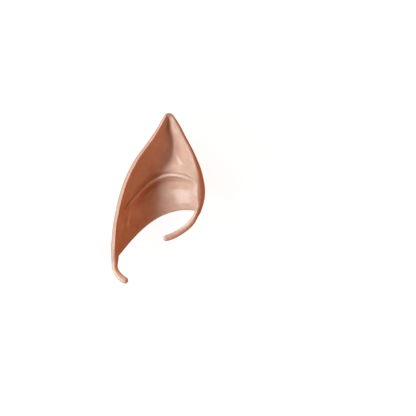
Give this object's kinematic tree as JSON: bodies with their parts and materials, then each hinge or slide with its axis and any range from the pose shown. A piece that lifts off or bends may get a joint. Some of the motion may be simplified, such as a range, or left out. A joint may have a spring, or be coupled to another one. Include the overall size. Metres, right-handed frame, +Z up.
{
  "type": "elf ear tip",
  "caption": "Long pointed ear tip moulded in one piece of soft latex, with a hollow front, a slip-on pocket behind it, a front tail and a lobe hook.",
  "frame": {"origin": "centre of the box in plan, on the surface that the ear tip lies on", "axes": "+X from the long helix edge to the short front edge, +Y to the pointed tip, +Z up out of the hollow front"},
  "size_m": [0.058, 0.105, 0.026],
  "materials": {
    "latex": "flesh-coloured moulded latex with a soft sheen"
  },
  "bodies": {
    "root": {"ear_shell": "latex"}
  },
  "joints": []
}
